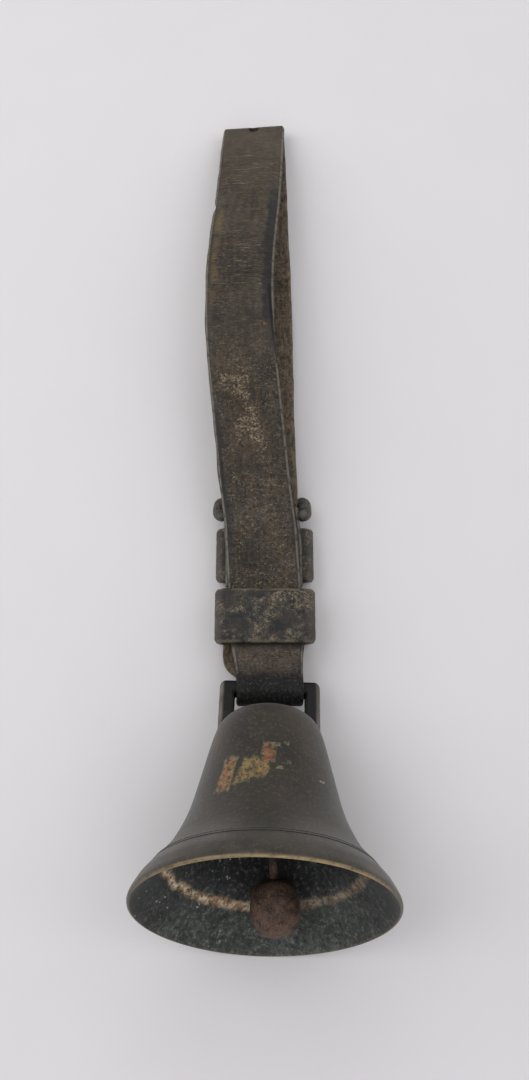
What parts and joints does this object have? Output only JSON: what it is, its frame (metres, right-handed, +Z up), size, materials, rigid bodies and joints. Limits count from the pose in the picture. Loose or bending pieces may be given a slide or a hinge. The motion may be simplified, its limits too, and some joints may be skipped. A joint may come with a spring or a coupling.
{
  "type": "handbell",
  "caption": "Bronze bell with a flared mouth and iron clapper, hung by its crown loop from a doubled, buckled leather strap used as a handle.",
  "frame": {"origin": "under the middle of the whole object, on the surface that it lies on", "axes": "+Z up, +Y from the bell's mouth to the strap's far end, +X to the right seen from above with the mouth nearest"},
  "size_m": [0.09, 0.3612, 0.0839],
  "materials": {
    "bell_bronze": "dark brown-grey bronze patina, worn bright at the lip",
    "loop_bronze": "dark dull bronze",
    "forged_iron": "dark rusted iron",
    "rusty_iron": "brown rust",
    "buckle_iron": "dark pitted iron",
    "strap_leather": "old cracked harness leather",
    "keeper_leather": "worn black-brown leather",
    "waxed_thread": "waxed linen thread"
  },
  "bodies": {
    "strap": {"strap": "strap_leather", "fixed_keeper": "keeper_leather", "chape_thread_left": "waxed_thread", "chape_thread_right": "waxed_thread"},
    "bell": {"bell_body": "bell_bronze", "crown_loop": "loop_bronze", "clapper_staple": "forged_iron", "staple_washer": "forged_iron", "staple_nut": "forged_iron"},
    "clapper": {"clapper_rod": "rusty_iron", "clapper_ball": "rusty_iron"},
    "sliding_keeper": {"sliding_keeper": "keeper_leather"},
    "buckle_frame": {"buckle_frame": "buckle_iron"},
    "buckle_tongue": {"buckle_tongue": "buckle_iron"}
  },
  "joints": [
    {"name": "bell_swing", "type": "hinge", "parent": "strap", "child": "bell", "pos_m": [0.00204, -0.08626, 0.01125], "axis": [0.9997, -0.0262, 0], "range_deg": [-30, 95]},
    {"name": "clapper_swing", "type": "hinge", "parent": "bell", "child": "clapper", "pos_m": [0.00141, -0.11041, 0.02086], "axis": [-0.9899, -0.0294, -0.1389], "range_deg": [0, 52]},
    {"name": "keeper_slide", "type": "slide", "parent": "strap", "child": "sliding_keeper", "axis": [0, 1, 0], "range_m": [-0.006, 0]},
    {"name": "buckle_frame_swing", "type": "hinge", "parent": "strap", "child": "buckle_frame", "pos_m": [-0.0009, -0.01518, 0.01], "axis": [1, 0, 0], "range_deg": [-3, 3]},
    {"name": "buckle_tongue_swing", "type": "hinge", "parent": "buckle_frame", "child": "buckle_tongue", "pos_m": [-0.0009, -0.01518, 0.01], "axis": [1, 0, 0], "range_deg": [-2, 1]}
  ]
}
